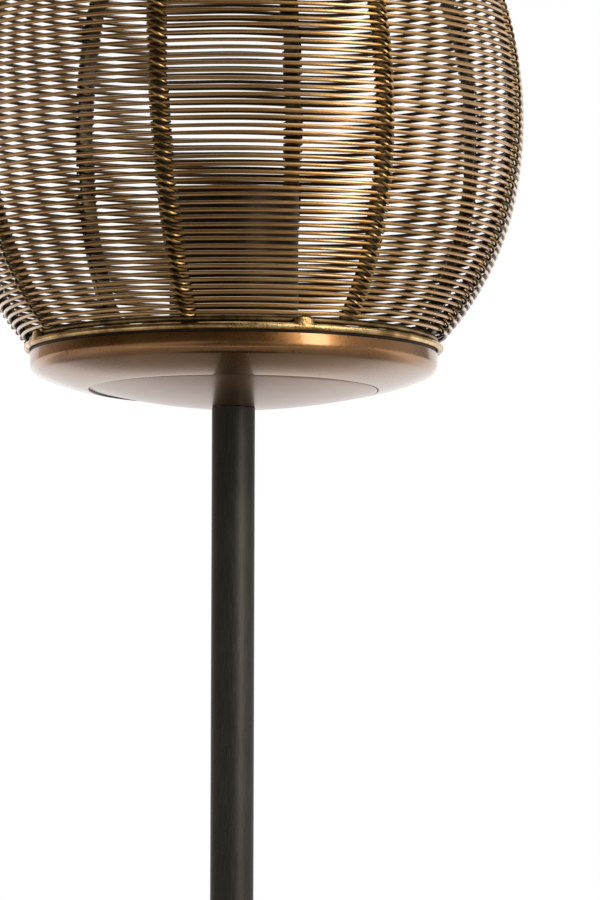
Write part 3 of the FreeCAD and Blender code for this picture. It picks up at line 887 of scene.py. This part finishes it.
def rib_strip(index):
    shape = bmesh.new()
    out = Vector((math.cos(rib_end_angle), 0, -math.sin(rib_end_angle)))
    centre = Vector((shoulder_centre, 0, belly_level - shoulder_rise))
    wide = Vector((0, rib_width / 2, 0))
    section = []
    for side, depth in ((-1, 0), (1, 0), (1, rib_thickness), (-1, rib_thickness)):
        section.append(shape.verts.new(centre + out * (shoulder_arc - depth) + side * wide))
    edges = [shape.edges.new(pair) for pair in zip(section, section[1:] + section[:1])]
    geom = section + edges
    bends = ((shoulder_centre, -shoulder_rise, rib_end_angle - belly_half_angle, 22),
             (belly_centre, 0, 2 * belly_half_angle, 20),
             (shoulder_centre, shoulder_rise, rib_end_angle - belly_half_angle, 22))
    for radius, rise, angle, steps in bends:
        swept = bmesh.ops.spin(shape, geom=geom, cent=(radius, 0, belly_level + rise), axis=(0, -1, 0),
                               angle=angle, steps=steps)
        geom = swept["geom_last"]
    ends = [e for e in shape.edges if len(e.link_faces) == 1]
    bmesh.ops.holes_fill(shape, edges=ends, sides=4)
    bmesh.ops.recalc_face_normals(shape, faces=shape.faces)
    soften(shape, 0.35 * mm, 2)
    for corner in shape.verts:
        corner.co.rotate(Matrix.Rotation(rib_bearings[index] + lean(index, corner.co.z), 3, "Z"))
    return close_mesh(shape, "barrel_rib_%d" % (index + 1))


for index, node in enumerate(rib_nodes):
    stand_in(rib_strip(index), "shade", "rib_bronze", node)

# %% [markdown]
# ## Hoops and foot ring
# The ribs end on a hoop at each end of the barrel, and a brighter ring under the lower hoop stands just
# above the tray's lip. A circle spun about the axis makes each of them.


# %% Round wire rings
def ring_middle(node):
    """Radius and level of the middle of a round wire ring."""
    low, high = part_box(node)
    wire = (high.z - low.z) / 2
    return high.x - wire, low.z + wire


def wire_ring(node, name, radius, drop):
    middle, level = ring_middle(node)
    centre = Vector((middle, 0, level - drop))
    shape = bmesh.new()
    upright = Matrix.Translation(centre) @ Matrix.Rotation(math.pi / 2, 4, "X")
    bmesh.ops.create_circle(shape, segments=14, radius=radius, matrix=upright)
    bmesh.ops.spin(shape, geom=shape.verts[:] + shape.edges[:], cent=(0, 0, 0), axis=(0, 0, 1),
                   angle=2 * math.pi, steps=round_steps, use_merge=True)
    return close_mesh(shape, name)


for node, name, radius, drop, slot in (("shade_lower_hoop", "lower_hoop", 1.25, 0.35, "hoop_bronze"),
                                       ("shade_upper_hoop", "upper_hoop", 0.95, 0.0, "hoop_bronze"),
                                       ("shade_foot_ring", "foot_ring", 1.3, 0.3, "ring_brass")):
    stand_in(wire_ring(node, name, radius * mm, drop * mm), "shade", slot, node)

# %% [markdown]
# ## Feet
# Four feet join the ring to the lower hoop. Outside, each is a dab of solder that spreads along the ring and
# rounds off over the hoop. Inside, a strip is bent over the collar and keeps the shade in the middle.

# %% Solder and strip of a foot
foot_half_width = 2.75 * mm
solder_half_width = 3.7 * mm
solder_flare = 1.2 * mm
solder_depth = 1.7 * mm
solder_inset = 0.3 * mm
solder_over = 1.0 * mm
solder_closing = 0.4
strip_thickness = 1.0 * mm
strip_room = 0.25 * mm
strip_side_room = 0.3 * mm
solder_levels = 8
solder_sides = 24


def solder(shape):
    """A dab from the foot ring up over the lower hoop, added to a bmesh."""
    ring_at, ring_level = ring_middle("shade_foot_ring")
    hoop_level = ring_middle("shade_lower_hoop")[1]
    loops = []
    for k in range(solder_levels + 1):
        rise = k / solder_levels
        closing = 1 - solder_closing * rise ** 8
        half_width = (solder_half_width + solder_flare * (1 - rise) ** 2) * closing
        level = ring_level + (hoop_level + solder_over - ring_level) * rise
        ring = []
        for side in range(solder_sides):
            turn = 2 * math.pi * side / solder_sides
            out = ring_at - solder_inset + solder_depth * closing * math.cos(turn)
            ring.append(shape.verts.new((out, half_width * math.sin(turn), level)))
        loops.append(ring)
    for lower, upper in zip(loops, loops[1:]):
        for side in range(solder_sides):
            ahead = (side + 1) % solder_sides
            shape.faces.new((lower[side], lower[ahead], upper[ahead], upper[side]))
    shape.faces.new(loops[0])
    shape.faces.new(loops[-1])


def bent_strip(shape, foot_level):
    """A strip from inside the collar up and over it to the hoop, added to a bmesh."""
    hoop_at, hoop_level = ring_middle("shade_lower_hoop")
    outside = collar_high.x - collar_wall - strip_side_room
    inside = outside - strip_thickness
    under = seat_top + strip_room
    outline = [(inside, foot_level), (outside, foot_level), (outside, under), (hoop_at, under),
               (hoop_at, hoop_level), (inside, hoop_level)]
    face = shape.faces.new([shape.verts.new((x, -foot_half_width, z)) for x, z in outline])
    grown = bmesh.ops.extrude_face_region(shape, geom=[face])["geom"]
    moved = [v for v in grown if isinstance(v, bmesh.types.BMVert)]
    bmesh.ops.translate(shape, vec=(0, 2 * foot_half_width, 0), verts=moved)


def shade_foot(node, name):
    shape = bmesh.new()
    bent_strip(shape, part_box(node)[0].z)
    bmesh.ops.recalc_face_normals(shape, faces=shape.faces)
    soften(shape, 0.25 * mm, 2)
    solder(shape)
    bmesh.ops.rotate(shape, cent=(0, 0, 0), matrix=Matrix.Rotation(bearing(node), 3, "Z"), verts=shape.verts)
    return close_mesh(shape, name)


for node in sorted(n for n in frame["nodes"] if n.startswith("shade_foot_") and n != "shade_foot_ring"):
    stand_in(shade_foot(node, node.replace("shade", "solder")), "shade", "ring_brass", node)

# %% [markdown]
# ## Wound wire
# The barrel's wire is one long helix from the lower to the upper hoop, wound by hand, so its turns are
# never quite even. A curve with a round bevel is the natural way to draw a wire. A slow noise moves each
# turn a little up or down the ribs, the lowest turns are pressed down on the hoop, and the turns at the
# back drift by a value for each gap between ribs. The curve becomes a mesh at the end.

# %% The wire's path
wire_radius = 0.75 * mm
wire_gap = 0.1 * mm
wire_turns = 65.25
rib_tail = 1.9 * mm
wander_size = 0.42 * mm
wander_round = 1.6
wander_along = 0.83
middle_drift = 1.17 * mm
beside_drift = 0.5 * mm
beside_bow = 2.6 * mm
beside_slant = 1.6 * mm
crowding = 0.04
settling = 0.95 * mm
settled_turns = 5
wire_start = math.radians(30.5)
wire_rise = wire_gap + wire_radius
wire_belly_arc = belly_arc + wire_rise
wire_shoulder_arc = shoulder_arc + wire_rise
belly_run = wire_belly_arc * belly_half_angle
shoulder_run = wire_shoulder_arc * (rib_end_angle - rib_tail / shoulder_arc - belly_half_angle)
half_run = belly_run + shoulder_run
wire_pitch = 2 * half_run / wire_turns


def side_of_barrel(run):
    """Radius, level and slope of the wire's middle at a run along the barrel's side from its belly."""
    side = math.copysign(1, run)
    beyond = abs(run) - belly_run
    if beyond <= 0:
        slope = abs(run) / wire_belly_arc
        radius = belly_centre + wire_belly_arc * math.cos(slope)
        rise = wire_belly_arc * math.sin(slope)
    else:
        slope = belly_half_angle + beyond / wire_shoulder_arc
        radius = shoulder_centre + wire_shoulder_arc * math.cos(slope)
        rise = shoulder_rise + wire_shoulder_arc * math.sin(slope)
    return radius, belly_level + side * rise, side * slope


def back_drift(angle, share):
    """How far the turns at the back ride up or down: one gap between ribs against those beside it."""
    back = max(0, math.sin(angle))
    middle = back ** 24
    beside = back ** 4 - middle
    bow = beside_bow * share * (1 - share ** 4)
    return middle_drift * middle - beside * (bow + beside_drift + beside_slant * math.cos(angle))


def wire_run(turn):
    """Run along the barrel's side at a turn: closer near the hoops, with the unevenness of hand winding."""
    angle = wire_start + turn * 2 * math.pi
    sample = Vector((wander_round * math.cos(angle), wander_round * math.sin(angle), wander_along * turn))
    ease = min(1, turn, wire_turns - turn)
    share = 2 * turn / wire_turns - 1
    even = half_run * share * (1 + crowding - crowding * share ** 2)
    even -= settling * min(1, 2 * turn) * max(0, 1 - turn / settled_turns)
    return even + ease * (wander_size * noise.noise(sample) + back_drift(angle, share))


def local_pitch(turn):
    """Distance along the barrel's side from one turn to the next."""
    share = 2 * turn / wire_turns - 1
    return wire_pitch * (1 + crowding - 3 * crowding * share ** 2)


def wire_place(turn):
    radius, level, _ = side_of_barrel(wire_run(turn))
    angle = wire_start + turn * 2 * math.pi
    return Vector((radius * math.cos(angle), radius * math.sin(angle), level))


wire_length = wire_turns * 2 * math.pi * belly_radius
print("wire pitch", round(wire_pitch / mm, 3), "mm, length up to", round(wire_length), "m")


# %% Wires from curves
def wire_mesh(name, points, radius, kind, sides, resolution=1):
    """A round wire along points, as a closed mesh."""
    curve = bpy.data.curves.new(name, "CURVE")
    curve.dimensions = "3D"
    curve.bevel_depth = radius
    curve.bevel_resolution = (sides - 4) // 2
    curve.resolution_u = resolution
    curve.use_fill_caps = True
    spline = curve.splines.new(kind)
    spline.points.add(len(points) - 1)
    for knot, point in zip(spline.points, points):
        knot.co = (*point, 1)
    if kind == "NURBS":
        spline.order_u = 4
        spline.use_endpoint_u = True
    drawn = bpy.data.objects.new(name, curve)
    mesh = bpy.data.meshes.new_from_object(drawn)
    bpy.data.objects.remove(drawn)
    bpy.data.curves.remove(curve)
    shape = bmesh.new()
    shape.from_mesh(mesh)
    bpy.data.meshes.remove(mesh)
    return close_mesh(shape, name)


points_per_turn = 112
last_point = int(wire_turns * points_per_turn)
wire_points = [wire_place(k / points_per_turn) for k in range(last_point + 1)]
wire_nodes = sorted(n for n in frame["nodes"] if n.startswith("shade_wire_"))
stand_in(wire_mesh("wound_wire", wire_points, wire_radius, "POLY", 10), "shade", "wire_bronze", *wire_nodes)

# %% [markdown]
# ## Lashings
# A thinner wire binds every turn to every rib. Seen from outside it comes round the rib's left edge
# between two turns, crosses the turn below it down to the right, tucks round the right edge and passes
# level behind the rib. Nine control points of a smooth spline give one such loop, and a loop over the
# turns repeats it down the rib.

# %% Lashing wires
lash_radius = 0.55 * mm
half_rib = rib_width / 2 + lash_radius
over_wire = wire_gap + 2 * wire_radius + lash_radius
behind_rib = -rib_thickness - lash_radius
# Each control point: across the rib, out from the rib's face, and down the rib in pitches of the winding
lash_loop = (
    (-half_rib - 0.25 * mm, -0.2 * mm, -0.50),
    (-0.72 * half_rib, 0.55 * over_wire, -0.47),
    (-0.30 * half_rib, 1.10 * over_wire, -0.30),
    (0.08 * half_rib, 1.22 * over_wire, 0.0),
    (0.45 * half_rib, 1.05 * over_wire, 0.30),
    (0.80 * half_rib, 0.50 * over_wire, 0.48),
    (half_rib + 0.25 * mm, -0.3 * mm, 0.50),
    (0.85 * half_rib, behind_rib * 1.1, 0.50),
    (-0.85 * half_rib, behind_rib * 1.1, 0.50),
)


def lash_points(index):
    points = []
    for turn in range(int(wire_turns), -1, -1):
        place = turn + (rib_bearings[index] - wire_start) / (2 * math.pi) % 1
        if place > wire_turns:
            continue
        for sideways, out, down in lash_loop:
            radius, level, slope = side_of_barrel(wire_run(place) - down * local_pitch(place))
            rise = out - wire_rise
            flat = radius + rise * math.cos(slope)
            angle = rib_bearings[index] + lean(index, level)
            point = Vector((flat * math.cos(angle), flat * math.sin(angle), level + rise * math.sin(slope)))
            points.append(point + sideways * Vector((-math.sin(angle), math.cos(angle), 0)))
    return points


finishes["lashing"] = lashing_bronze()
for index in range(len(rib_nodes)):
    lashing = wire_mesh("lashing_%d" % (index + 1), lash_points(index), lash_radius, "NURBS", 6, 3)
    lashed = add_object(lashing.name, lashing, finishes["lashing"])
    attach(lashed, "shade")
print("lashings of", len(lashing.polygons), "faces each")

# %% [markdown]
# ## Contact spring
# The centre contact of the lampholder stands on a small coil spring, which shortens as the contact is
# pressed down. The coil rides on the stem.

# %% Spring under the contact
spring_wire = 0.35 * mm
spring_turns = 5
points_per_coil = 32


def spring_point(turn):
    low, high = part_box("contact_spring")
    coil = high.x - spring_wire
    level = low.z + spring_wire + (high.z - low.z - 2 * spring_wire) * turn / spring_turns
    return Vector((coil * math.cos(2 * math.pi * turn), coil * math.sin(2 * math.pi * turn), level))


spring_points = [spring_point(k / points_per_coil) for k in range(spring_turns * points_per_coil + 1)]
spring_mesh = wire_mesh("press_spring", spring_points, spring_wire, "POLY", 12)
spring = stand_in(spring_mesh, "stem", "spring_steel", "contact_spring")
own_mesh(spring)

# %% [markdown]
# ## Small fittings
# The nuts, washers, inserts and the parts of the lampholder that are still plain solids get rounded edges
# from a bevel modifier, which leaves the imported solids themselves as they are.

# %% Round the edges that are left
shown = [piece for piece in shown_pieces() if piece.name in frame["nodes"]]
for solid in shown:
    bevel = solid.modifiers.new("rounded edges", "BEVEL")
    bevel.width = 0.2 * mm
    bevel.segments = 2
    bevel.angle_limit = edge_angle
print("rounded", [solid.name for solid in shown])
